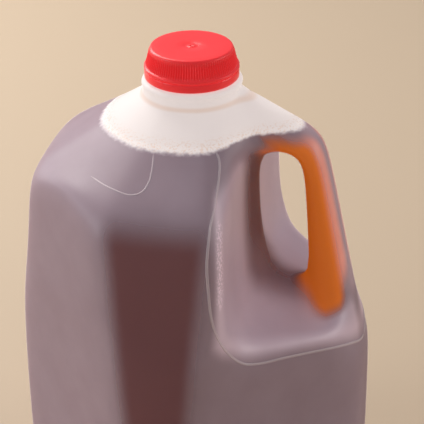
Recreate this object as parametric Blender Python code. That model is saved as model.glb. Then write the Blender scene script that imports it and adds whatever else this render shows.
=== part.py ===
"""Gallon jug of sweet tea: a thin blow-moulded bottle with a handle in one corner, its drink and its screw cap.

The bottle is drawn as one half of a control cage, mirrored in the plane of its mould's parting line (XZ) and
subdivided. Columns run round the body from the handle's spine to the opposite corner, rows run from the base
up to the mouth. The cage leaves out a small window of faces, whose edge lies in the parting plane: the finger
hole behind the handle. The drink is the same cage set in by the wall, and cut flat at its level.
"""
import math

import bmesh
import bpy
from mathutils import Vector

# One drawing unit in metres. The figures below are read off the photograph in units of about a millimetre, and
# this size makes the drink, up to its level, one US gallon.
MM = 0.00103

# Driving dimensions, in drawing units
WALL = 0.6              # bottle wall
GAP = 0.3               # clearance kept between neighbouring pieces
TEA_LEVEL = 219.6       # height of the drink above the base
NECK_R = 22.6           # neck, below its ring
RING_R = 23.3           # ring that the cap's band sits on
RING_Z = (237.2, 239.6)
FINISH_R = 18.4         # mouth, inside the cap
MOUTH_Z = 252.4
CAP_TOP_Z = 254.5
CAP_TOP_R = 19.0        # flat top of the cap
CAP_SKIRT_R = 20.9      # foot of the knurled skirt
CAP_BEAD_R = 21.7
BAND_R = 21.5           # tamper band
BAND_Z = (240.1, 244.0)
CAP_INNER_R = 19.6
CAP_ROOF_Z = 252.8
BASE_RISE = 3.0         # how far the middle of the base stands off the table
# Rows of the base, from its middle out: share of the lowest body section, height. The middle is pushed up, and the
# four level rows make the flat ring that the jug stands on.
BASE = ((0.42, BASE_RISE), (0.68, BASE_RISE * 0.6), (0.77, 0), (0.82, 0), (0.87, 0), (0.915, 0), (0.97, 2.6))
LEVEL_ROWS = slice(2, 6)

KEEP = 0.41             # share of the subdivided faces that is kept

# Body section by height: z, distance to the flat faces, to the two side corner facets, to the facet opposite the
# handle
BODY = (
    (16.0, 70.6, 81.4, 81.2),
    (45.0, 71.6, 83.0, 82.8),
    (78.0, 72.0, 83.4, 83.3),
    (106.0, 72.2, 83.4, 83.1),
    (122.0, 72.4, 83.2, 82.3),
    (133.0, 72.6, 82.4, 80.9),
    (140.0, 72.8, 81.6, 79.7),
    (148.0, 73.0, 80.6, 78.4),
    (158.0, 73.0, 79.2, 76.8),
    (170.0, 73.0, 77.9, 75.3),
    (186.0, 72.6, 76.2, 73.6),
    (197.0, 70.8, 73.2, 71.4),
)
# Shoulder above the body: radius and height of each row
DOME = (
    (66.5, 204.6),
    (53.0, 211.8),
    (38.8, 220.3),
    (28.3, 227.2),
    (24.0, 230.4),
)

# Control points of the pocket, the handle and the shoulder over them, in columns 0 to 12 of the rows that follow
# the lowest body rows. Each is x, distance from the parting plane, z. None marks the inside of the finger hole.
POCKET = (
    # the face below the pocket, where the handle insert's line runs
    ((82.8, 0, 109), (82.3, 10, 110.5), (78.8, 21, 115.5), (72.2, 30.3, 119.6), (64.4, 38.2, 122.2),
     (56.6, 46, 124.2), (50.2, 52.8, 125), (45.4, 57.6, 125.6), (41.2, 61.8, 126.4), (37.0, 66.0, 128),
     (33.4, 69.6, 131), (29.6, 73.4, 134), (20.8, 82.2, 136)),
    # lower rim of the pocket
    ((80.4, 0, 120.5), (79.8, 10, 121.8), (76.2, 19.5, 126.2), (70.6, 30.2, 128.2), (62.8, 37.6, 130),
     (54.8, 44.6, 131.6), (47.4, 51, 133.2), (42, 55.6, 134.6), (37.6, 59.8, 136), (34, 64, 138.6),
     (31.6, 67.8, 142), (29.4, 73.0, 144), (22.2, 80.2, 145)),
    # start of the sloping floor
    ((78.4, 0, 130.5), (77.6, 9, 131.2), (74.6, 15.5, 130.2), (68.8, 25.2, 129.4), (61.2, 31.8, 131),
     (53.2, 37.5, 133), (45.4, 43.2, 134.8), (39.8, 47.6, 136.4), (35.4, 52, 138.4), (32, 57.6, 141.6),
     (30.2, 65.6, 146.4), (28.8, 72.9, 149.5), (23.6, 78.4, 151)),
    # foot of the handle and end of the floor
    ((76.4, 0, 141.5), (75.5, 8.5, 141.5), (72.4, 13.5, 136), (65, 14.3, 132.4), (57, 14.5, 134.4),
     (48.8, 15.2, 136.2), (40.8, 18, 138), (35.2, 23.4, 140.4), (31.2, 31, 143.2), (29.0, 47, 147.2),
     (29.2, 64.5, 153.5), (28.4, 72.8, 156), (24.2, 77.4, 158.5)),
    # lower end of the finger hole
    ((74.0, 0, 154.5), (73, 8.5, 154.5), (69, 13.4, 151.5), (60.5, 13, 147.5), (52.6, 0, 145),
     (45.0, 0, 139.6), (37.0, 0, 144), (31.8, 10, 149.8), (28.0, 21, 153), (27.6, 44, 157.5),
     (28.6, 63.4, 163.5), (28.2, 72.4, 164), (24.8, 76.6, 166)),
    ((70.8, 0, 170), (69.8, 8.5, 170), (65.8, 13.2, 169), (58.3, 12.6, 168.5), (52.1, 0, 168), None,
     (32.4, 0, 167), (29.8, 10, 168.6), (27, 21, 169.8), (27.2, 44, 171.6), (28.4, 63, 173.4),
     (28.1, 71.6, 174.4), (25, 76, 175.4)),
    ((66.8, 0, 190), (65.8, 8.3, 190), (62.2, 12.6, 189), (56, 12, 188), (51.7, 0, 188), None,
     (31, 0, 188), (29.2, 10, 189), (26.6, 21, 189.6), (27.0, 44, 189), (28.0, 61.8, 186.6),
     (27.6, 70.6, 185.6), (24.6, 74.8, 185.6)),
    # upper end of the finger hole
    ((63.4, 0, 206), (62.4, 8, 205.5), (59.2, 12.2, 204.5), (54.4, 12, 203.5), (50, 0, 202.5),
     (42, 0, 206), (33.6, 0, 202.5), (30, 10.5, 203), (27, 22, 202.6), (27.2, 42.5, 199.7),
     (27.3, 57.2, 196.1), (26.5, 64.5, 195.7), (23.6, 71, 195.8)),
    # upper corner of the handle
    ((60, 0, 214.8), (58.8, 7.5, 214.2), (55.2, 11.5, 211.8), (50.5, 12, 210.3), (46, 12, 209.8),
     (41.5, 12, 210), (36.2, 12.5, 209.5), (31, 16, 209.4), (27.2, 26, 208.6), (26.3, 40, 206.6),
     (25.3, 51, 204.2), (23.8, 57.5, 203.3), (21.4, 62.4, 203.3)),
    ((51.5, 0, 220.6), (50.5, 6.5, 219.8), (48, 10, 217.4), (44.5, 11.5, 216), (41, 12.5, 215.7),
     (37.5, 13, 215.8), (33.6, 14.5, 216.1), (29.6, 19, 216.6), (25.6, 26.5, 216.2),
     (23.8, 34.5, 214.6), (22, 42, 213), (20, 47.2, 212), (17.6, 50.4, 211.7)),
    ((39.5, 0, 226.8), (38.8, 5.5, 226), (37, 8.5, 224.3), (35, 10.5, 223.1), (32.8, 12.5, 222.5),
     (30.5, 14.5, 222.5), (28, 17, 222.8), (25.2, 20.5, 223), (22.4, 24.8, 222.6), (20.2, 28.6, 221.7),
     (18.2, 31.6, 221), (16, 34.2, 220.5), (13.3, 36.5, 220.3)),
    ((30, 0, 232.1), (29.5, 4.6, 231.5), (28.5, 7.4, 230), (27.2, 9.8, 229.1), (25.8, 12.2, 228.6),
     (24.2, 14.6, 228.4), (22.4, 17, 228.2), (20.2, 19.6, 228), (17.8, 21.9, 227.8),
     (15.6, 23.6, 227.6), (13.6, 24.9, 227.4), (11.6, 25.9, 227.3), (9.4, 26.7, 227.2)),
)
BACK_LIFT = 1.4         # the shoulder is this much higher on the side opposite the handle
LAST = 21               # the column on the corner opposite the handle
BODY_ROWS_BELOW = 4     # body rows lower than the pocket's table
HOLE_FOOT_ROW = 4       # the row of that table at the lower end of the finger hole
EASE = 3.5              # how far an eased edge is drawn back from its sharp corner
SHOULDER_ARCH = 6.75    # how much the shoulder's edge rises over the middle of a face


def facet_columns(flat, facet, back):
    """Plan positions of columns 12 to 21: the side corner facet, the far face, half the facet opposite the handle."""
    half = flat * math.sqrt(2) - facet
    near = half + EASE
    lip = facet - EASE
    back_half = flat * math.sqrt(2) - back
    end = (-(back - EASE), back_half + EASE)
    points = [(near, lip), (half - 5, facet), (0, facet), (5 - half, facet), (-near, lip)]
    for t in (1 / 3, 2 / 3):
        points.append((-near + (end[0] + near) * t, lip + (end[1] - lip) * t))
    points += [end, (-back, back_half - 5), (-back, 0)]
    return points


def face_columns(flat, facet, back):
    """Plan positions of columns 0 to 11 where the body is whole: the handle's corner and the face beside it."""
    half = flat * math.sqrt(2) - facet
    near = half + EASE
    lip = facet - EASE
    points = [(facet, 0), (facet, half * 0.55), (facet - 1.2, half - 1)]
    for i in range(3, 12):
        t = (i - 2.4) / 9.6
        points.append((lip + (near - lip) * t, near + (lip - near) * t))
    return points


def cage_rows():
    """Rows of control points, each from the handle's spine round to the opposite corner."""
    rows = []
    foot = face_columns(*BODY[0][1:]) + facet_columns(*BODY[0][1:])
    for scale, z in BASE:
        rows.append([(x * scale, y * scale, z) for x, y in foot])
    for z, *section in BODY[:BODY_ROWS_BELOW]:
        rows.append([(x, y, z) for x, y in face_columns(*section) + facet_columns(*section)])
    for k, (z, *section) in enumerate(BODY[BODY_ROWS_BELOW:]):
        far = facet_columns(*section)[1:]
        arch = SHOULDER_ARCH if k == len(BODY) - BODY_ROWS_BELOW - 1 else 0.0
        lift = (0, 0, 0, 0, 1, 1, 0, 0, 0)
        rows.append(list(POCKET[k]) + [(x, y, z + arch * s) for (x, y), s in zip(far, lift)])
    first = len(BODY) - BODY_ROWS_BELOW
    for k, (r, z) in enumerate(DOME[:-1]):
        far = []
        base = facet_columns(*BODY[-1][1:])[1:]
        for x, y in base:
            angle = math.atan2(y, x)
            # the first rows still follow the body's corners a little, the last are round
            mix = (0.55, 0.25, 0.0, 0.0)[k]
            reach = r * (1 + mix * (math.hypot(x, y) / 76.0 - 1))
            far.append((reach * math.cos(angle), reach * math.sin(angle), z + BACK_LIFT * len(far) / 8))
        rows.append(list(POCKET[first + k]) + far)
    angles = [math.atan2(y, x) for x, y, _ in rows[-1]]
    # the ridge that comes up from the handle lifts the foot of the neck on its side
    lifts = [p[2] - DOME[-2][1] for p in rows[-1]]
    neck = (
        (DOME[-1][0], DOME[-1][1], 0.85), (NECK_R + 0.2, 232.6, 0.55), (NECK_R, RING_Z[0] - 0.6, 0.0),
        (RING_R, RING_Z[0], 0.0), (RING_R, RING_Z[1], 0.0), (FINISH_R + 0.6, RING_Z[1] + 0.1, 0.0),
        (FINISH_R, RING_Z[1] + 1.2, 0.0), (FINISH_R, MOUTH_Z - 0.8, 0.0), (FINISH_R, MOUTH_Z, 0.0),
    )
    for r, z, share in neck:
        rows.append([(r * math.cos(a), r * math.sin(a), z + share * lift) for a, lift in zip(angles, lifts)])
    return rows


def half_cage(name):
    """Mesh of the half on the -Y side of the parting plane, open at the mouth."""
    bm = bmesh.new()
    weights = bm.verts.layers.deform.verify()
    pole = bm.verts.new((0, 0, BASE_RISE * MM))
    grid = []
    for row in cage_rows():
        grid.append([None if p is None else bm.verts.new((p[0] * MM, -p[1] * MM, p[2] * MM)) for p in row])
    for i in range(LAST):
        bm.faces.new((pole, grid[0][i + 1], grid[0][i]))
    for lower, upper in zip(grid, grid[1:]):
        for i in range(LAST):
            corners = (lower[i], lower[i + 1], upper[i + 1], upper[i])
            if None not in corners:
                bm.faces.new(corners)
    # this weight keeps the faces round the finger hole and of the flat ring under the base from being thinned out
    foot = len(BASE) + BODY_ROWS_BELOW + HOLE_FOOT_ROW
    kept = [row[:9] for row in grid[foot - 2:foot + 4]] + grid[LEVEL_ROWS]
    for vert in (v for row in kept for v in row if v is not None):
        vert[weights][0] = 1.0
    bmesh.ops.recalc_face_normals(bm, faces=bm.faces)
    mesh = bpy.data.meshes.new(name)
    bm.to_mesh(mesh)
    bm.free()
    return mesh


def material(name, colour, roughness, alpha=1.0):
    mat = bpy.data.materials.new(name)
    mat.use_nodes = True
    shader = mat.node_tree.nodes["Principled BSDF"]
    shader.inputs["Base Color"].default_value = (*colour, 1.0)
    shader.inputs["Roughness"].default_value = roughness
    shader.inputs["Metallic"].default_value = 0.0
    shader.inputs["Alpha"].default_value = alpha
    return mat


def add_object(name, mesh, mat):
    obj = bpy.data.objects.new(name, mesh)
    bpy.context.scene.collection.objects.link(obj)
    mesh.materials.append(mat)
    for face in mesh.polygons:
        face.use_smooth = True
    return obj


def mirror_and_smooth(obj, levels):
    mirror = obj.modifiers.new("Parting plane", "MIRROR")
    mirror.use_axis = (False, True, False)
    mirror.use_clip = True
    mirror.merge_threshold = 0.0001
    smooth = obj.modifiers.new("Smooth", "SUBSURF")
    smooth.levels = levels
    smooth.render_levels = levels
    thin = obj.modifiers.new("Fewer faces", "DECIMATE")
    thin.ratio = KEEP
    thin.use_symmetry = True
    thin.symmetry_axis = "Y"
    thin.vertex_group = obj.vertex_groups.new(name="Finger hole").name
    thin.invert_vertex_group = True
    thin.vertex_group_factor = 4.0


def turned(name, profile, segments, mat):
    """Solid of revolution about Z. The profile is a closed loop of (radius, z), down its outer side."""
    bm = bmesh.new()
    points = [bm.verts.new((r * MM, 0, z * MM)) for r, z in profile]
    edges = [bm.edges.new((points[k], points[(k + 1) % len(points)])) for k in range(len(points))]
    bmesh.ops.spin(bm, geom=points + edges, cent=(0, 0, 0), axis=(0, 0, 1), angle=math.tau, steps=segments)
    bmesh.ops.remove_doubles(bm, verts=bm.verts, dist=1e-6)
    bmesh.ops.recalc_face_normals(bm, faces=bm.faces)
    mesh = bpy.data.meshes.new(name)
    bm.to_mesh(mesh)
    bm.free()
    obj = add_object(name, mesh, mat)
    mesh.set_sharp_from_angle(angle=math.radians(35))
    return obj


def main():
    for obj in list(bpy.data.objects):
        bpy.data.objects.remove(obj, do_unlink=True)

    plastic = material("milky_plastic", (0.86, 0.84, 0.83), 0.38, alpha=0.55)
    drink = material("sweet_tea", (0.30, 0.09, 0.03), 0.08)
    red = material("red_plastic", (0.83, 0.03, 0.05), 0.35)

    jug = add_object("jug", half_cage("jug"), plastic)
    mirror_and_smooth(jug, 1)
    wall = jug.modifiers.new("Wall", "SOLIDIFY")
    wall.thickness = WALL * MM
    wall.offset = -1.0

    # the drink: the same form, set in by the wall and the clearance
    tea = add_object("tea", half_cage("tea"), drink)
    mirror_and_smooth(tea, 1)
    graph = bpy.context.evaluated_depsgraph_get()
    body = bmesh.new()
    body.from_mesh(tea.evaluated_get(graph).to_mesh())
    body.normal_update()
    inset = (WALL + GAP) * MM
    moves = [v.normal * -inset for v in body.verts]
    for v, move in zip(body.verts, moves):
        v.co += move
    cut = bmesh.ops.bisect_plane(
        body, geom=body.verts[:] + body.edges[:] + body.faces[:], dist=1e-7,
        plane_co=Vector((0, 0, TEA_LEVEL * MM)), plane_no=Vector((0, 0, 1)), clear_outer=True)
    rim = [e for e in cut["geom_cut"] if isinstance(e, bmesh.types.BMEdge)]
    bmesh.ops.holes_fill(body, edges=rim, sides=0)
    tea.modifiers.clear()
    body.to_mesh(tea.data)
    body.free()

    turned("cap", (
        (0.0, CAP_TOP_Z), (CAP_TOP_R - 1.2, CAP_TOP_Z), (CAP_TOP_R, CAP_TOP_Z - 0.9), (CAP_SKIRT_R, 245.9),
        (CAP_BEAD_R, 245.6), (CAP_BEAD_R, 244.7), (BAND_R, BAND_Z[1] + GAP), (CAP_INNER_R, BAND_Z[1] + GAP),
        (CAP_INNER_R - 0.3, CAP_ROOF_Z), (0.0, CAP_ROOF_Z),
    ), 64, red)
    turned("tamper_band", (
        (BAND_R, BAND_Z[1]), (BAND_R + 0.1, BAND_Z[0] + 0.3), (BAND_R - 0.3, BAND_Z[0]),
        (CAP_INNER_R + 0.1, BAND_Z[0]), (CAP_INNER_R, BAND_Z[1]),
    ), 64, red)


main()
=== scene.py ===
# %% [markdown]
# # Gallon jug of sweet tea
#
# A milky, thin-walled jug with a handle through one corner stands on a pale floor. It is filled with sweet
# tea up to the shoulder and closed with a red screw cap. The jug and the drink come from one smooth control
# cage, so the drink always lies against the wall. Sizes are drawn in units of about a millimetre, and MM
# turns them into metres. The frame of the solid model is loaded first, so every piece is built where the
# solid one stands.

# %% Frame
import math

import bmesh
import bpy
import numpy as np
from mathutils import Matrix, Vector
from mathutils.bvhtree import BVHTree


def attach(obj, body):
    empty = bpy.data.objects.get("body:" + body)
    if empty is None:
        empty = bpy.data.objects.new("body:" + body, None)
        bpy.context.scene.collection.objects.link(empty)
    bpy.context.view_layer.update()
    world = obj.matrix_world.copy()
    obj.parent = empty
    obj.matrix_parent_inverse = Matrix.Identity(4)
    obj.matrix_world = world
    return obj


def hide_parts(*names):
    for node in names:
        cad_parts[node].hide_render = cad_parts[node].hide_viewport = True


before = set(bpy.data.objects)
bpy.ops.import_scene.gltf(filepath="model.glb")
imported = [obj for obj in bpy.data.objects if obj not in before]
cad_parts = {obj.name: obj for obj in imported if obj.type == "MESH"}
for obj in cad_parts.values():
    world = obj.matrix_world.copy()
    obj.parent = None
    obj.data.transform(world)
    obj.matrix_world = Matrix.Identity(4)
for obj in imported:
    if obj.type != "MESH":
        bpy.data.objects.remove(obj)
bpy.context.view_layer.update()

MM = 0.00103            # one drawing unit in metres, as in the CAD
WALL = 0.6              # thickness of the plastic
TEA_LEVEL = 219.6       # height of the drink's surface

# %% [markdown]
# A blow-moulded jug has no sharp edge: every face flows into the next. It could be cut from a box with many
# bevels, but their widths change along each edge. So a coarse cage of control points is written down, and
# subdivision smooths it. The cage is one half of the jug, on one side of the mould's parting plane. Its
# columns run round the body, from the spine of the handle (column 0) to the opposite corner (column 21).
# Its rows run from the base to the mouth. The body, the shoulder, the neck and the base follow from a few
# sizes in each row.

# %% Sizes of the body
BODY = np.array((       # z, distance to the flats, to the side corners, to the corner opposite the handle
    (16.0, 70.6, 81.4, 81.2), (45.0, 71.6, 83.0, 82.8), (78.0, 72.0, 83.4, 83.3),
    (106.0, 72.2, 83.4, 83.1), (122.0, 72.4, 83.2, 82.3), (133.0, 72.6, 82.4, 80.9),
    (140.0, 72.8, 81.6, 79.7), (148.0, 73.0, 80.6, 78.4), (158.0, 73.0, 79.2, 76.8),
    (170.0, 73.0, 77.9, 75.3), (186.0, 72.6, 76.2, 73.6), (197.0, 70.8, 73.2, 71.4),
))
DOME = (                # radius, z
    (66.5, 204.6), (53.0, 211.8), (38.8, 220.3), (28.3, 227.2))
NECK = (                # radius, z, share of the lift of the neck's foot on the handle's side
    (24.0, 230.4, 0.85), (22.8, 232.6, 0.55), (22.6, 236.6, 0), (23.3, 237.2, 0), (23.3, 239.6, 0),
    (19.0, 239.7, 0), (18.4, 240.8, 0), (18.4, 251.6, 0), (18.4, 252.4, 0))
BASE = (                # share of the lowest body section, z
    (0.42, 3.0), (0.68, 1.8), (0.77, 0), (0.82, 0), (0.87, 0), (0.915, 0), (0.97, 2.6))
BASE_RISE = BASE[0][1]  # the middle of the base is pushed up by this
print("rows of base, body, shoulder, neck:", len(BASE), len(BODY), len(DOME), len(NECK))

# %% [markdown]
# Round the handle the corner of the jug is pressed in to a pocket, and no simple rule gives its form. Its
# floor, its rims and the handle's foot could each be carved with a tool of their own, but the joins between
# them would show. So each point of this table places one feature that can be seen: a rim, a ramp, the inner
# wall or the handle itself. Two points are left out, and the cells round them are the finger hole, whose
# edge lies in the parting plane.

# %% Points of the pocket and the handle
HOLE = (math.nan,) * 3  # a point that is left out
POCKET = np.array((     # x, distance from the parting plane, z, in columns 0 to 12
    ((82.8, 0, 109), (82.3, 10, 110.5), (78.8, 21, 115.5), (72.2, 30.3, 119.6), (64.4, 38.2, 122.2),
     (56.6, 46, 124.2), (50.2, 52.8, 125), (45.4, 57.6, 125.6), (41.2, 61.8, 126.4), (37, 66, 128),
     (33.4, 69.6, 131), (29.6, 73.4, 134), (20.8, 82.2, 136)),
    ((80.4, 0, 120.5), (79.8, 10, 121.8), (76.2, 19.5, 126.2), (70.6, 30.2, 128.2), (62.8, 37.6, 130),
     (54.8, 44.6, 131.6), (47.4, 51, 133.2), (42, 55.6, 134.6), (37.6, 59.8, 136), (34, 64, 138.6),
     (31.6, 67.8, 142), (29.4, 73, 144), (22.2, 80.2, 145)),
    ((78.4, 0, 130.5), (77.6, 9, 131.2), (74.6, 15.5, 130.2), (68.8, 25.2, 129.4), (61.2, 31.8, 131),
     (53.2, 37.5, 133), (45.4, 43.2, 134.8), (39.8, 47.6, 136.4), (35.4, 52, 138.4), (32, 57.6, 141.6),
     (30.2, 65.6, 146.4), (28.8, 72.9, 149.5), (23.6, 78.4, 151)),
    ((76.4, 0, 141.5), (75.5, 8.5, 141.5), (72.4, 13.5, 136), (65, 14.3, 132.4), (57, 14.5, 134.4),
     (48.8, 15.2, 136.2), (40.8, 18, 138), (35.2, 23.4, 140.4), (31.2, 31, 143.2), (29, 47, 147.2),
     (29.2, 64.5, 153.5), (28.4, 72.8, 156), (24.2, 77.4, 158.5)),
    ((74, 0, 154.5), (73, 8.5, 154.5), (69, 13.4, 151.5), (60.5, 13, 147.5), (52.6, 0, 145),
     (45, 0, 139.6), (37, 0, 144), (31.8, 10, 149.8), (28, 21, 153), (27.6, 44, 157.5),
     (28.6, 63.4, 163.5), (28.2, 72.4, 164), (24.8, 76.6, 166)),
    ((70.8, 0, 170), (69.8, 8.5, 170), (65.8, 13.2, 169), (58.3, 12.6, 168.5), (52.1, 0, 168), HOLE,
     (32.4, 0, 167), (29.8, 10, 168.6), (27, 21, 169.8), (27.2, 44, 171.6), (28.4, 63, 173.4),
     (28.1, 71.6, 174.4), (25, 76, 175.4)),
    ((66.8, 0, 190), (65.8, 8.3, 190), (62.2, 12.6, 189), (56, 12, 188), (51.7, 0, 188), HOLE,
     (31, 0, 188), (29.2, 10, 189), (26.6, 21, 189.6), (27, 44, 189), (28, 61.8, 186.6),
     (27.6, 70.6, 185.6), (24.6, 74.8, 185.6)),
    ((63.4, 0, 206), (62.4, 8, 205.5), (59.2, 12.2, 204.5), (54.4, 12, 203.5), (50, 0, 202.5),
     (42, 0, 206), (33.6, 0, 202.5), (30, 10.5, 203), (27, 22, 202.6), (27.2, 42.5, 199.7),
     (27.3, 57.2, 196.1), (26.5, 64.5, 195.7), (23.6, 71, 195.8)),
    ((60, 0, 214.8), (58.8, 7.5, 214.2), (55.2, 11.5, 211.8), (50.5, 12, 210.3), (46, 12, 209.8),
     (41.5, 12, 210), (36.2, 12.5, 209.5), (31, 16, 209.4), (27.2, 26, 208.6), (26.3, 40, 206.6),
     (25.3, 51, 204.2), (23.8, 57.5, 203.3), (21.4, 62.4, 203.3)),
    ((51.5, 0, 220.6), (50.5, 6.5, 219.8), (48, 10, 217.4), (44.5, 11.5, 216), (41, 12.5, 215.7),
     (37.5, 13, 215.8), (33.6, 14.5, 216.1), (29.6, 19, 216.6), (25.6, 26.5, 216.2),
     (23.8, 34.5, 214.6), (22, 42, 213), (20, 47.2, 212), (17.6, 50.4, 211.7)),
    ((39.5, 0, 226.8), (38.8, 5.5, 226), (37, 8.5, 224.3), (35, 10.5, 223.1), (32.8, 12.5, 222.5),
     (30.5, 14.5, 222.5), (28, 17, 222.8), (25.2, 20.5, 223), (22.4, 24.8, 222.6), (20.2, 28.6, 221.7),
     (18.2, 31.6, 221), (16, 34.2, 220.5), (13.3, 36.5, 220.3)),
    ((30, 0, 232.1), (29.5, 4.6, 231.5), (28.5, 7.4, 230), (27.2, 9.8, 229.1), (25.8, 12.2, 228.6),
     (24.2, 14.6, 228.4), (22.4, 17, 228.2), (20.2, 19.6, 228), (17.8, 21.9, 227.8),
     (15.6, 23.6, 227.6), (13.6, 24.9, 227.4), (11.6, 25.9, 227.3), (9.4, 26.7, 227.2)),
))
print("pocket rows, columns:", POCKET.shape[:2])

# %% [markdown]
# Seen from above, the body is a square with its corners cut off. Where it is whole, its outline is worked out
# from three distances, so all rows have their columns in the same places and the faces stay clean. The
# points at its edges are drawn back from the sharp corner along the flat face, so the edges come out round.

# %% Control cage
COLUMNS = 22
FIRST = 4               # body rows lower than the pocket's table
EASE = 3.5              # how far an eased edge is drawn back from its sharp corner
SHOULDER_ARCH = 6.75    # how much the shoulder's edge rises over the middle of the far face
BACK_LIFT = 1.4         # the shoulder is this much higher opposite the handle
ROUNDING = (0.55, 0.25, 0.0, 0.0)       # how much of the square plan each row of the shoulder keeps
EDGE_REACH = 76.0       # from the axis to the rounded edges of the topmost body row


def plan(flat, facet, back):
    """Half an eight-sided outline with eased corners: points at even steps along its flat faces."""
    half = flat * math.sqrt(2) - facet
    near, lip = half + EASE, facet - EASE
    rear = flat * math.sqrt(2) - back
    t = (np.arange(3, 12) - 2.4) / 9.6
    face = np.stack([lip + (near - lip) * t, near + (lip - near) * t], 1)
    end = np.array((EASE - back, rear + EASE))
    corner = np.array((-near, lip))
    far = corner + (end - corner) * np.array(((1 / 3,), (2 / 3,), (1,)))
    return np.vstack([[(facet, 0), (facet, half * 0.55), (facet - 1.2, half - 1)], face,
                      [(near, lip), (half - 5, facet), (0, facet), (5 - half, facet), corner], far,
                      [(-back, rear - 5), (-back, 0)]])


def cage():
    """Control points in drawing units, as rows by columns by x, distance from the parting plane and z.

    The base is the lowest outline shrunk by a share, the body the outline at each height with the pocket in
    front, and the shoulder and the neck are rings whose angles come from the row beneath them.
    """
    rows = []
    foot = plan(*BODY[0][1:])
    for share, z in BASE:
        rows.append(np.column_stack([foot * share, np.full(COLUMNS, z)]))
    for z, *section in BODY[:FIRST]:
        rows.append(np.column_stack([plan(*section), np.full(COLUMNS, z)]))
    for k, (z, *section) in enumerate(BODY[FIRST:]):
        far = np.column_stack([plan(*section)[13:], np.full(9, z)])
        if k == len(BODY) - FIRST - 1:
            far[4:6, 2] += SHOULDER_ARCH
        rows.append(np.vstack([POCKET[k], far]))
    base = plan(*BODY[-1][1:])[13:]
    angle = np.arctan2(base[:, 1], base[:, 0])
    for k, (radius, z) in enumerate(DOME):
        reach = radius * (1 + ROUNDING[k] * (np.hypot(*base.T) / EDGE_REACH - 1))
        lifted = z + BACK_LIFT * np.arange(9) / 8
        far = np.column_stack([reach * np.cos(angle), reach * np.sin(angle), lifted])
        rows.append(np.vstack([POCKET[len(BODY) - FIRST + k], far]))
    angle = np.arctan2(rows[-1][:, 1], rows[-1][:, 0])
    lift = rows[-1][:, 2] - DOME[-1][1]
    for radius, z, share in NECK:
        rows.append(np.column_stack([radius * np.cos(angle), radius * np.sin(angle), z + share * lift]))
    return np.array(rows)


GRID = cage()
print("cage rows, columns:", GRID.shape[:2])

# %% [markdown]
# The plastic isn't even: it is thin where it was stretched and thick where the mould held it, and some light
# and shade is painted on it as well. A picture could be painted for that, but it would have to be wrapped
# round the handle. So six marks are written on the points of the cage, and the subdivision carries them
# smoothly onto the fine surface. "thin" is 1 on the flanks of the handle, where the wall hardly veils the
# drink. "corner" lies round the side corners and paints shade down the middle of each: the veil thins there
# and the dark drink shows.
# "pale" is high on the pocket's rims, ramp and inner wall, where the plastic is hazier and a painted glow
# lightens it, and the crest mark runs along the sharpest of those edges and the handle's outer edge as a
# painted highlight.
# The glow mark is 1 in the handle, where the drink is a finger thick: its orange is painted, with a glow that
# stands in for light shining through from behind. "rough" lies on the sandblasted strip beside the pocket.

# %% Marks on the cage
# painted orange glow at the edges of the handle, for light shining through the thin drink from behind
BACKLIT_GLOW_EDGE = (           # pocket row, column, how much of the orange shows there
    (3, 2, 0.9), (3, 3, 0.9), (3, 4, 0.4), (7, 5, 0.9), (7, 6, 0.3), (8, 5, 0.9), (8, 6, 0.7),
    (9, 2, 0.3), (9, 3, 0.5), (9, 4, 0.6), (9, 5, 0.5))
row, column = np.mgrid[0:GRID.shape[0], 0:COLUMNS]
pocket = row - len(BASE) - FIRST        # row of the pocket's table


def block(rows, columns):
    """True on the cage's points in these rows of the pocket's table and these columns, ends included."""
    return (pocket >= rows[0]) & (pocket <= rows[1]) & (column >= columns[0]) & (column <= columns[1])


def cage_marks():
    """Each mark's name with its value on every point of the cage: a few blocks of points, from 0 to 1."""
    # painted shade down the middle of the side corners, shown through a thinner veil
    corner = np.where(block((-FIRST, 6), (11, 17)), 1.0, 0.0)
    corner[block((7, 7), (11, 17))] = 0.45
    thin = np.where(block((3, 8), (2, 4)), 1.0, 0.0)
    thin[block((5, 8), (5, 7))] = 0.55
    thin[block((4, 4), (5, 6))] = 0.4
    thin[block((3, 3), (4, 4))] = 0.3
    thin[block((9, 9), (3, 5))] = 0.6
    # hazier plastic on the pocket's rims, ramp and inner wall, and a painted glow there
    rims = block((2, 8), (10, 11)) | block((1, 2), (1, 11))
    ramp_and_wall = block((3, 3), (4, 9)) | block((3, 8), (8, 9))
    pale = np.where(rims, 1.0, np.where(ramp_and_wall, 0.8, 0.0))
    # painted highlight along the pocket's lower rim, its ridge and the handle's outer edge
    crest_highlight = np.where(block((1, 1), (0, 11)) | block((2, 8), (11, 11)), 1.0, 0.0)
    crest_highlight[block((3, 9), (0, 0))] = 1.0
    crest_highlight[block((3, 9), (1, 1))] = 0.4
    # painted orange glow in the handle, for light shining through the thin drink from behind
    backlit_glow = np.where(block((4, 8), (1, 4)), 1.0, 0.0)
    for r, c, value in BACKLIT_GLOW_EDGE:
        backlit_glow[block((r, r), (c, c))] = value
    rough = np.where(block((4, 7), (11, 11)), 1.0, 0.0)
    return {"thin": thin, "corner": corner, "pale": pale, "crest_highlight": crest_highlight, "backlit_glow": backlit_glow, "rough": rough}


MARKS = cage_marks()
print("marked points:", {name: int((value > 0).sum()) for name, value in MARKS.items()})

# %% [markdown]
# The half cage becomes a mesh with one face for each cell of the grid, and a fan of triangles closes the
# middle of the base. Both halves could be drawn, but then a change on one side would have to be copied to
# the other. A Mirror modifier adds the second half and joins it along the parting plane. Two levels of
# subdivision are enough for a smooth outline, and Solidify turns the surface into a wall, inwards from it.

# %% Jug
SMOOTH_LEVELS = 2


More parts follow.
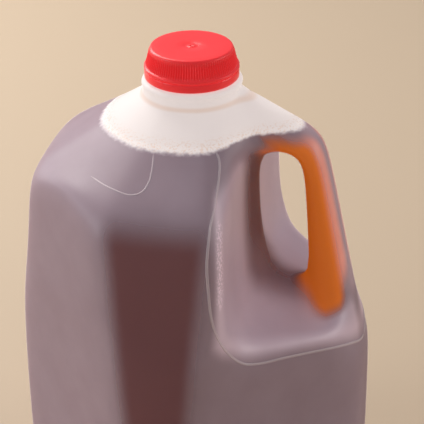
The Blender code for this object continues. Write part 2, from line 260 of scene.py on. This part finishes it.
def half_cage(name):
    """Mesh of the half on the -Y side: a quad for each cell with all four of its points, and a fan below.

    The middle of the base is point 0, so a cell that names 0 has a point missing.
    """
    points = GRID.reshape(-1, 3) * (MM, -MM, MM)
    used = ~np.isnan(points[:, 0])
    index = np.where(used, np.cumsum(used), 0)
    points = np.vstack([[(0, 0, BASE_RISE * MM)], points[used]])
    a = index.reshape(GRID.shape[:2])
    cells = np.stack([a[:-1, :-1], a[1:, :-1], a[1:, 1:], a[:-1, 1:]], -1).reshape(-1, 4)
    cells = cells[(cells > 0).all(1)]
    fan = np.stack([np.zeros(COLUMNS - 1, int), a[0, :-1], a[0, 1:]], 1)
    mesh = bpy.data.meshes.new(name)
    mesh.from_pydata(points.tolist(), [], fan.tolist() + cells.tolist())
    mesh.update()
    for key, value in MARKS.items():
        data = mesh.attributes.new(key, "FLOAT", "POINT").data
        data.foreach_set("value", np.concatenate([[0.0], value.reshape(-1)[used]]))
    mesh.shade_smooth()
    return mesh


def smooth_half(obj):
    """Adds the other half across the parting plane and smooths both."""
    mirror = obj.modifiers.new("Parting plane", "MIRROR")
    mirror.use_axis = (False, True, False)
    mirror.use_clip = True
    mirror.merge_threshold = 0.0001
    fine = obj.modifiers.new("Smooth", "SUBSURF")
    fine.levels = SMOOTH_LEVELS
    fine.render_levels = SMOOTH_LEVELS


def show(name, mesh, replaced=()):
    """Puts a mesh into the scene as a piece of the jug, in place of the solid nodes named."""
    obj = bpy.data.objects.new(name, mesh)
    bpy.context.scene.collection.objects.link(obj)
    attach(obj, "root")
    if replaced:
        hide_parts(*replaced)
    return obj


jug = show("jug_wall", half_cage("jug_wall"), ["jug"])
smooth_half(jug)
wall = jug.modifiers.new("Wall", "SOLIDIFY")
wall.thickness = WALL * MM
wall.offset = -1.0
print("faces in the half cage:", len(jug.data.polygons))

# %% [markdown]
# The drink fills the jug, so its outside has the form of the jug's inside. It could be cut out of a block by
# a Boolean with the jug, which is slow and leaves slivers. Here it is the same smooth surface moved in along
# its normals by half the wall, so it reaches just into the plastic and no air shows between them. It is cut
# flat at its level and closed there.

# %% Drink
def smooth_shell():
    """The smooth jug surface without its wall, as a mesh of its own."""
    obj = bpy.data.objects.new("shell_source", half_cage("shell_source"))
    bpy.context.scene.collection.objects.link(obj)
    smooth_half(obj)
    graph = bpy.context.evaluated_depsgraph_get()
    mesh = bpy.data.meshes.new_from_object(obj.evaluated_get(graph))
    bpy.data.objects.remove(obj)
    return mesh


def drink(inset):
    """Every point is moved inwards along its normal, and all that is higher than the level is cut away."""
    shell = smooth_shell()
    places = np.zeros(len(shell.vertices) * 3)
    normals = np.zeros(len(shell.vertices) * 3)
    shell.vertices.foreach_get("co", places)
    shell.vertex_normals.foreach_get("vector", normals)
    shell.vertices.foreach_set("co", places - normals * inset)
    body = bmesh.new()
    body.from_mesh(shell)
    cut = bmesh.ops.bisect_plane(
        body, geom=body.verts[:] + body.edges[:] + body.faces[:], dist=1e-7,
        plane_co=Vector((0, 0, TEA_LEVEL * MM)), plane_no=Vector((0, 0, 1)), clear_outer=True)
    rim = [e for e in cut["geom_cut"] if isinstance(e, bmesh.types.BMEdge)]
    bmesh.ops.holes_fill(body, edges=rim, sides=0)
    mesh = bpy.data.meshes.new("tea_fill")
    body.to_mesh(mesh)
    volume = body.calc_volume()
    body.free()
    mesh.shade_smooth()
    mesh.set_sharp_from_angle(angle=math.radians(40))
    return mesh, volume


tea_mesh, tea_volume = drink(0.5 * WALL * MM)
tea = show("tea_fill", tea_mesh, ["tea"])
print("drink in litres:", round(1000 * tea_volume, 3))

# %% [markdown]
# The cap and the band that stays on the neck are round, so each is a profile turned about Z. The Screw
# modifier would turn it too, but then nothing could change with the angle. A grid of profile points by
# angles can: whatever a function of radius, height and angle gives is added to the radius.

# %% Turning a profile
def turned(name, profile, steps, ribs=None):
    """Closed profile of radius and height, turned about Z: each point is r cos a, r sin a and z.

    What ribs(r, z, a) gives is added to the radius first. Where the profile starts and ends on the axis, its
    first and last rows shrink to one point each.
    """
    profile = np.array(profile, float)
    angle = np.linspace(0, math.tau, steps, endpoint=False)
    r = np.repeat(profile[:, :1], steps, 1)
    z = np.repeat(profile[:, 1:], steps, 1)
    if ribs is not None:
        r = r + ribs(r, z, angle[None, :])
    grid = np.stack([r * np.cos(angle), r * np.sin(angle), z], -1) * MM
    rows = len(profile)
    ids = np.arange(rows * steps).reshape(rows, steps)
    low, high = ids[:-1], ids[1:]
    quads = np.stack([low, np.roll(low, -1, 1), np.roll(high, -1, 1), high], -1).reshape(-1, 4)
    points = grid.reshape(-1, 3)
    faces = quads.tolist()
    if profile[0, 0] < 1e-6:
        points = np.vstack([points[steps:-steps], [grid[0, 0]], [grid[-1, 0]]])
        last = len(points)
        first_ring = np.arange(steps)
        last_ring = np.arange(last - 2 - steps, last - 2)
        inner = quads.reshape(rows - 1, steps, 4)[1:-1].reshape(-1, 4) - steps
        faces = inner.tolist()
        faces += np.stack([np.full(steps, last - 2), np.roll(first_ring, -1), first_ring], 1).tolist()
        faces += np.stack([last_ring, np.roll(last_ring, -1), np.full(steps, last - 1)], 1).tolist()
    mesh = bpy.data.meshes.new(name)
    mesh.from_pydata(points.tolist(), [], faces)
    mesh.update()
    closed = bmesh.new()
    closed.from_mesh(mesh)
    bmesh.ops.remove_doubles(closed, verts=closed.verts, dist=1e-7)
    bmesh.ops.recalc_face_normals(closed, faces=closed.faces)
    closed.to_mesh(mesh)
    closed.free()
    mesh.shade_smooth()
    mesh.set_sharp_from_angle(angle=math.radians(50))
    return mesh


# %% [markdown]
# The skirt of the cap has narrow upright ribs for the fingers. They could be an array of small bars, but the
# ribs are moulded in one with the skirt. So a cosine of the angle, sharpened a little, pushes the skirt in
# and out, and fades out at both ends of it. The top has a shallow dimple where the plastic went in.

# %% Screw cap
RIBS = 110
RIB_DEPTH = 0.34
CAP_TOP_R = 19.0
SKIRT_FOOT_R = 20.9
SKIRT_TOP_Z = 253.6
SKIRT_FOOT_Z = 246.0


def knurl(r, z, angle):
    """Ribs on the outer side of the skirt, fading in above its foot and out below the top edge."""
    fade = np.clip((z - SKIRT_FOOT_Z - 0.2) / 0.5, 0, 1) * np.clip((SKIRT_TOP_Z - 0.3 - z) / 0.8, 0, 1)
    wave = np.cos(RIBS * angle)
    return RIB_DEPTH * fade * (r > CAP_TOP_R + 0.1) * (np.sign(wave) * np.abs(wave) ** 0.6 - 0.4)


skirt = [(CAP_TOP_R + (SKIRT_FOOT_R - CAP_TOP_R) * t, SKIRT_TOP_Z + (SKIRT_FOOT_Z - SKIRT_TOP_Z) * t)
         for t in np.linspace(0, 1, 14)]
edge = [(CAP_TOP_R - 1.1 + 1.1 * math.sin(a), SKIRT_TOP_Z - 0.1 + 1.0 * math.cos(a))
        for a in np.linspace(0, math.pi / 2, 6)]
dimple = [(0, 254.1), (0.5, 254.1), (0.8, 254.42), (1.3, 254.42), (1.6, 254.22), (3.3, 254.26), (3.6, 254.36)]
roof = [(8.0, 254.42), (14.0, 254.47)]
bead = [(21.4, 245.85), (21.7, 245.5), (21.7, 244.9), (21.5, 244.6), (21.3, 244.3)]
inside = [(19.6, 244.3), (19.3, 252.8), (0, 252.8)]
cap_profile = dimple + roof + edge + skirt + bead + inside
cap = show("screw_cap", turned("screw_cap", cap_profile, RIBS * 6, knurl), ["cap"])
print("cap faces:", len(cap.data.polygons))

# %% [markdown]
# The lower ring of the closure breaks off and stays on the neck when the cap is first unscrewed. It could be
# turned in one with the cap, but then no gap would show between them. So it is a turned band of its own. The
# small tabs round it mark where it hangs on the cap, and are made like the ribs, by a step at equal angles.

# %% Tamper band
TABS = 14


def tabs(r, z, angle):
    """Small raised tabs on the band's outer side."""
    near = np.abs(((angle * TABS / math.tau) % 1.0) - 0.5) < 0.06
    return np.where(near & (r > 21.0) & (z > 243.0), 0.22, 0.0)


band_profile = [(21.3, 244.0), (21.5, 243.7), (21.55, 243.0), (21.6, 241.6), (21.6, 240.5), (21.2, 240.1),
                (19.7, 240.1), (19.6, 244.0), (21.3, 244.0)]
band = show("tamper_ring", turned("tamper_ring", band_profile, 420, tabs), ["tamper_band"])
print("band faces:", len(band.data.polygons))

# %% [markdown]
# Thin raised lines run where inserts met the mould: one round the handle's pocket and a smaller loop on the
# shoulder, on both sides of the jug. A bump in the material could show them, but their shine at a low angle
# needs a real edge. Each path is a smooth curve through a few points, laid on the jug's surface, with a
# small half-buried tube along it.

# %% Paths of the insert lines
HANDLE_LINE = (         # x, distance from the parting plane, z
    (18.4, 34.4, 219.2), (20.4, 37.4, 216.2), (21.5, 43.1, 212.3), (22.6, 57.6, 204.0), (22.6, 68.8, 197.5),
    (22.6, 74.7, 186.5), (23.2, 76.2, 174.4), (24.9, 76.2, 156.4), (29.0, 72.6, 142.0), (35.0, 65.9, 131.0),
    (42.0, 58.9, 126.9), (53.4, 47.9, 125.0), (69.7, 31.6, 121.6), (78.1, 18.4, 117.6), (81.6, 7.5, 113.6),
    (82.3, 0, 112.4))
SHOULDER_LINE = (
    (-8.6, 40.0, 219.0), (-7.7, 47.5, 214.6), (-7.8, 53.4, 211.2), (-9.9, 58.0, 208.3), (-14.6, 59.4, 207.1),
    (-20.1, 58.0, 207.4), (-28.1, 53.5, 207.8), (-36.0, 47.0, 208.2))
PATH_STEPS = 8


def smooth_path(stops):
    """Cubic curve through the stops, which leaves each along the line between its two neighbours."""
    p = np.array(stops, float)
    p = np.vstack([2 * p[0] - p[1], p, 2 * p[-1] - p[-2]])
    t = np.linspace(0, 1, PATH_STEPS, endpoint=False)[:, None]
    parts = []
    for a, b, c, d in zip(p, p[1:], p[2:], p[3:]):
        bend = (2 * a - 5 * b + 4 * c - d) * t ** 2 + (3 * b - a - 3 * c + d) * t ** 3
        parts.append(0.5 * (2 * b + (c - a) * t + bend))
    return np.vstack(parts + [p[-2:-1]])


print("points along the two lines:", len(smooth_path(HANDLE_LINE)), len(smooth_path(SHOULDER_LINE)))

# %% [markdown]
# Listed point by point, a path never lies exactly on a curved wall. A Shrinkwrap modifier could pull it
# there, but the tube also has to know which way the wall faces. So each point of the path is moved to the
# nearest place on the smooth jug, which gives the normal too. A small oval is then carried along: the cosine
# of its angle across the wall and the sine along the normal, smaller towards both ends.

# %% Insert lines
TUBE_SIDES = 10
shell_mesh = smooth_shell()
points = np.zeros(len(shell_mesh.vertices) * 3)
shell_mesh.vertices.foreach_get("co", points)
shell_faces = [tuple(face.vertices) for face in shell_mesh.polygons]
surface = BVHTree.FromPolygons(points.reshape(-1, 3).tolist(), shell_faces)


def bead_line(name, stops, side, width, height):
    """Oval tube along the path: across the surface by width, off it by height, tapered at both ends."""
    path = smooth_path(stops) * (MM, side * MM, MM)
    laid = [surface.find_nearest(Vector(p)) for p in path]
    centre = np.array([hit[0] for hit in laid])
    normal = np.array([hit[1] for hit in laid])
    along = np.gradient(centre, axis=0)
    along /= np.linalg.norm(along, axis=1, keepdims=True)
    normal = normal - along * (normal * along).sum(1, keepdims=True)
    normal /= np.linalg.norm(normal, axis=1, keepdims=True)
    across = np.cross(normal, along)
    angle = np.linspace(0, math.tau, TUBE_SIDES, endpoint=False)
    n = len(centre)
    taper = np.clip(np.minimum(np.arange(n), n - 1 - np.arange(n)) / 3, 0.15, 1)[:, None, None]
    beside = across[:, None] * np.cos(angle)[None, :, None] * width
    above = normal[:, None] * np.sin(angle)[None, :, None] * height
    verts = (centre[:, None] + (beside + above) * MM * taper).reshape(-1, 3)
    ids = np.arange(n * TUBE_SIDES).reshape(n, TUBE_SIDES)
    a, b = ids[:-1], ids[1:]
    quads = np.stack([a, b, np.roll(b, -1, 1), np.roll(a, -1, 1)], -1).reshape(-1, 4)
    mesh = bpy.data.meshes.new(name)
    ends = [ids[0].tolist(), ids[-1].tolist()[::-1]]
    mesh.from_pydata(verts.tolist(), [], quads.tolist() + ends)
    mesh.update()
    body = bmesh.new()
    body.from_mesh(mesh)
    bmesh.ops.recalc_face_normals(body, faces=body.faces)
    body.to_mesh(mesh)
    body.free()
    mesh.shade_smooth()
    return show(name, mesh, ())


lines = []
for side, word in ((-1, "near"), (1, "far")):
    lines.append(bead_line(f"handle_line_{word}", HANDLE_LINE, side, 0.65, 0.26))
    lines.append(bead_line(f"shoulder_line_{word}", SHOULDER_LINE, side, 0.34, 0.12))
print("raised lines:", len(lines))

# %% [markdown]
# A material is a tree of nodes, and its formulas are hard to read when each node is added and linked by hand.
# Two small classes keep them short. A Value wraps one output of a node, and the usual signs between two of
# them, or with a number, add the Math node that does it. A Paint is the material, and its method node adds
# any node.

# %% Shader maths
class Value:
    """One output of a node, with arithmetic."""

    def __init__(self, paint, socket):
        self.paint = paint
        self.socket = socket

    def maths(self, operation, *others):
        """A Math node's operation on this value and the others, which are values or numbers."""
        inputs = {f"_{place}": item for place, item in enumerate((self, *others))}
        return self.paint.node("Math", {"operation": operation}, **inputs)

    def __add__(self, other):
        return self.maths("ADD", other)

    def __mul__(self, other):
        return self.maths("MULTIPLY", other)

    def __sub__(self, other):
        return self.maths("SUBTRACT", other)

    def __rsub__(self, other):
        return self.maths("MULTIPLY", -1.0) + other

    __radd__ = __add__
    __rmul__ = __mul__

    def step(self, low, high):
        """0 below low and 1 above high, smooth between."""
        smooth = {"interpolation_type": "SMOOTHSTEP"}
        return self.paint.node("MapRange", smooth, Value=self, From_Min=low, From_Max=high)


class Paint:
    """A material's node tree, with one method for any node."""

    def __init__(self, name):
        self.material = bpy.data.materials.new(name)
        self.material.use_nodes = True
        self.tree = self.material.node_tree
        self.tree.nodes.clear()
        self.out = self.tree.nodes.new("ShaderNodeOutputMaterial")

    def node(self, kind, settings=None, output=0, **inputs):
        """Adds a node, its settings first and then its inputs, by name or as _0, _1 by place."""
        node = self.tree.nodes.new("ShaderNode" + kind)
        for key, value in (settings or {}).items():
            setattr(node, key, value)
        for key, value in inputs.items():
            place = node.inputs[int(key[1:])] if key[1:].isdigit() else node.inputs[key.replace("_", " ")]
            if isinstance(value, Value):
                self.tree.links.new(value.socket, place)
            else:
                place.default_value = value
        return Value(self, node.outputs[output])

    def noise(self, place, scale, detail):
        """Noise from 0 to 1, with about this many bumps to the metre."""
        return self.node("TexNoise", Vector=place, Scale=scale, Detail=detail)

    def mix(self, share, first, second):
        """Colour between two colours, each three numbers or a Value."""
        first, second = (c if isinstance(c, Value) else (*c, 1) for c in (first, second))
        return self.node("Mix", {"data_type": "RGBA"}, output=2, _0=share, _6=first, _7=second)

    def mark(self, name):
        """One of the marks that travel with the cage."""
        return self.node("Attribute", {"attribute_name": name}, output="Fac")

    def coat(self, **inputs):
        """Gives the surface one shader with these inputs."""
        shader = self.node("BsdfPrincipled", **inputs)
        self.tree.links.new(shader.socket, self.out.inputs["Surface"])


# %% [markdown]
# Milky plastic scatters light inside, so it hides the drink more where it is thick. Real scattering in a
# thin wall is slow to render and is lost in an export. So the plastic is a veil over the painted drink: a
# little pink, satin, with more or less cover from place to place. It is thin on the handle's flanks, and down
# the middle of the side corners it thins to paint shade, so the dark drink shows. It is nearly white above
# the drink, with a painted glow, and uneven along the frothy edge at the drink's level; the groove at the
# foot of the neck gets painted shade. The pocket's rims get a painted glow and their sharpest edges a painted
# highlight. Fine noise keeps all of it from looking even. The raised lines have the same plastic without the
# froth or the painted light.

# %% Milky plastic
def milky(name, cover, froth=True):
    """A veil with this share of cover, to which the marks, the drink's level and the noise add."""
    paint = Paint(name)
    place = paint.node("TexCoord", output="Object")
    height = paint.node("SeparateXYZ", output="Z", Vector=place)
    blotch = paint.noise(place, 45.0, 3.0)
    grain = paint.noise(place, 900.0, 2.0)
    amount = blotch * 0.10 + (cover - 0.05)
    bump = grain * 0.12
    colour = (0.76, 0.63, 0.65, 1)
    painted_glow = (0.0, 0.0, 0.0, 1)
    satin = 0.40
    if froth:
        thin = paint.mark("thin").step(0.1, 0.9)
        corner = paint.mark("corner").step(0.1, 0.9)
        pale = paint.mark("pale").step(0.1, 1.0)
        crest_highlight = paint.mark("crest_highlight").step(0.1, 1.0)
        rough = paint.mark("rough")
        # painted shade: down the middle of a side corner the veil thins to show the dark drink, narrower
        # downwards
        reach = (height * 0.085 + 5.4 * MM).maths("MAXIMUM", 14 * MM)
        offset = (paint.node("SeparateXYZ", output="X", Vector=place) + 0.6 * MM).maths("ABSOLUTE")
        window = corner * (reach - offset).step(-5.0 * MM, 5.0 * MM)
        thin_and_shaded = thin.maths("MAXIMUM", window)
        # height above the drink, a little ragged
        above = height + paint.noise(place, 420.0, 4.0) * 0.0018 - (TEA_LEVEL * MM + 0.0009)
        dry = above.step(-0.0012, 0.0006)
        edge = dry - above.step(0.0004, 0.0022)
        speck = grain.step(0.46, 0.58) * rough.step(0.3, 0.9)
        # more veil on the pocket's rims, from hazier plastic and painted light; less where the plastic is
        # thin and where shade is painted
        wet = (amount + pale * 0.20) * (1.0 - thin_and_shaded * 0.84) * (1.0 - dry)
        amount = wet + dry * 0.78 + edge * 0.20 + speck * 0.22
        bump = bump + speck * 0.8 + edge * 0.15
        foam = dry - above.step(0.0015, 0.0050)
        fleck = grain.step(0.50, 0.64) * foam * 0.6
        # painted shade in the groove at the foot of the neck
        groove_shade = height.step(231.0 * MM, 232.2 * MM) - height.step(232.6 * MM, 234.2 * MM)
        # froth flecks and the painted groove shade together
        fleck_and_groove_shade = fleck.maths("MAXIMUM", groove_shade * 0.55)
        white = paint.mix(fleck_and_groove_shade, (0.34, 0.316, 0.302), (0.30, 0.21, 0.165))
        colour = paint.mix(dry, (0.79, 0.66, 0.76), white)
        # painted glow on the pocket's rims and ramp, and a painted highlight along their sharpest edges
        painted_highlight = paint.mix(pale, (0, 0, 0), (0.10, 0.062, 0.068))
        painted_highlight = paint.mix(crest_highlight, painted_highlight, (0.20, 0.135, 0.140))
        satin = dry * 0.25 + 0.40
        # painted glow above the drink, browner in the froth flecks and in the painted groove shade
        headspace_glow = paint.mix(fleck_and_groove_shade, (0.55, 0.485, 0.465), (0.50, 0.36, 0.28))
        painted_glow = paint.mix(dry, painted_highlight, headspace_glow)
    normal = paint.node("Bump", Height=bump, Strength=0.25, Distance=0.0004)
    paint.coat(Base_Color=colour, Roughness=satin, Specular_IOR_Level=0.9, Normal=normal,
               Alpha=amount.maths("MINIMUM", 1.0), Emission_Color=painted_glow, Emission_Strength=1.0)
    return paint.material


jug.data.materials.append(milky("milky_plastic_wall", 0.38))
line_material = milky("milky_plastic_line", 0.55, froth=False)
for line in lines:
    line.data.materials.append(line_material)
print("nodes in the milky plastic:", len(jug.data.materials[0].node_tree.nodes))

# %% [markdown]
# Sweet tea takes blue and green out of the light much faster than red. The body of the drink is so thick
# that it looks dark brown, and the finger-thick layer in the handle lets light through and looks orange. A
# see-through volume could do both, but it would look grey behind the veil. So the drink is painted: in the
# handle a bright orange colour and a painted glow stand in for the light shining through from behind, and the
# brown has soft clouds in it.

# %% Sweet tea
paint = Paint("sweet_tea")
place = paint.node("TexCoord", output="Object")
cloud = paint.noise(place, 18.0, 2.0)
# painted light: the orange colour and glow in the handle stand in for light shining through the thin drink
# from behind
backlit_glow = paint.mark("backlit_glow").step(0.05, 0.95)
deep = paint.mix(cloud, (0.138, 0.048, 0.047), (0.182, 0.068, 0.066))
colour = paint.mix(backlit_glow, deep, (0.80, 0.19, 0.006))
painted_glow = paint.mix(backlit_glow, (0.020, 0.004, 0.002), (0.34, 0.07, 0.002))
paint.coat(Base_Color=colour, Roughness=0.5, Specular_IOR_Level=0.0, Emission_Color=painted_glow,
           Emission_Strength=0.6)
tea.data.materials.append(paint.material)
print("nodes in the sweet tea:", len(paint.tree.nodes))

# %% [markdown]
# The cap and the band are dyed right through in a strong red. Light that enters the plastic leaves it again
# as more red, so the shaded side never goes dark. Scattering under the surface would do that, and a weak red
# glow does it for less. A faint grain breaks up the shine.

# %% Red plastic
def red_plastic(name, bumpy):
    """Red with soft clouds in it, and fine noise as a bump of this strength."""
    paint = Paint(name)
    place = paint.node("TexCoord", output="Object")
    colour = paint.mix(paint.noise(place, 150.0, 2.0), (0.86, 0.024, 0.030), (0.92, 0.032, 0.038))
    fine = paint.noise(place, 1500.0, 1.0)
    normal = paint.node("Bump", Height=fine, Strength=bumpy, Distance=0.0002)
    paint.coat(Base_Color=colour, Roughness=0.30, Specular_IOR_Level=0.35, Normal=normal,
               Emission_Color=(0.19, 0.009, 0.009, 1), Emission_Strength=1.0)
    return paint.material


cap.data.materials.append(red_plastic("red_plastic_cap", 0.15))
band.data.materials.append(red_plastic("red_plastic_band", 0.08))
print("red plastic on:", cap.name, "and", band.name)

# %% [markdown]
# The jug stands on a wide pale floor. One large soft light comes from behind on the left, and a lower one
# beside it puts the broad shine on the left shoulder. Two weaker ones fill both sides, and the sky is an
# even pale one. A single strong light would be simpler, but satin plastic shows its form by broad, soft
# shines.

# %% Floor and light
floor_mesh = bpy.data.meshes.new("floor")
floor_mesh.from_pydata([(-3, -3, 0), (3, -3, 0), (3, 6, 0), (-3, 6, 0)], [], [(0, 1, 2, 3)])
floor = bpy.data.objects.new("floor", floor_mesh)
bpy.context.scene.collection.objects.link(floor)
paint = Paint("floor_paint")
paint.coat(Base_Color=(0.52, 0.40, 0.28, 1), Roughness=0.7)
floor_mesh.materials.append(paint.material)
LIGHT_AIM = Vector((0, 0, 0.15))


def area_light(name, place, size, power, colour):
    """A soft round light of this size in metres and power in watts, turned towards the jug."""
    data = bpy.data.lights.new(name, "AREA")
    data.shape = "DISK"
    data.size = size
    data.energy = power
    data.color = colour
    obj = bpy.data.objects.new(name, data)
    obj.location = place
    obj.rotation_euler = (LIGHT_AIM - Vector(place)).to_track_quat("-Z", "Y").to_euler()
    bpy.context.scene.collection.objects.link(obj)


area_light("window", (-0.75, 0.75, 1.15), 0.9, 17.0, (1.0, 0.97, 0.93))
area_light("low_window", (-1.3, 0.65, 0.55), 0.9, 9.0, (0.97, 0.98, 1.0))
area_light("left", (-1.0, -0.5, 0.5), 0.7, 4.0, (0.95, 0.97, 1.0))
area_light("right", (1.1, 0.2, 0.5), 0.6, 3.4, (1.0, 0.95, 0.92))

world = bpy.data.worlds.new("sky")
world.use_nodes = True
world.node_tree.nodes["Background"].inputs["Color"].default_value = (0.90, 0.92, 1.0, 1)
world.node_tree.nodes["Background"].inputs["Strength"].default_value = 0.36
bpy.context.scene.world = world
print("lights:", len(bpy.data.lights))

# %% [markdown]
# The camera looks down on the jug from about a metre away, with a long lens, so the upright edges
# stay nearly parallel. It could be aimed at a point, but the picture is also turned a little in its own
# plane. So two of the camera's own axes are given, to the right and up in the picture, and the third is at
# right angles to both. They were fitted to the jug's outline in the photograph.

# %% Camera
CAMERA_PLACE = (0.1855, -0.7969, 0.6024)
right = Vector((0.97745, 0.2109, -0.01083))
up = Vector((-0.08834, 0.45492, 0.88614))
camera_data = bpy.data.cameras.new("camera")
camera_data.sensor_width = 36.0
camera_data.lens = 161.3
camera = bpy.data.objects.new("camera", camera_data)
bpy.context.scene.collection.objects.link(camera)
turn = Matrix((right, up, right.cross(up))).transposed()
camera.matrix_world = Matrix.Translation(CAMERA_PLACE) @ turn.to_4x4()
bpy.context.scene.camera = camera
bpy.context.scene.view_settings.view_transform = "Standard"
print("camera is", round(Vector(CAMERA_PLACE).length, 2), "m from the middle of the base")
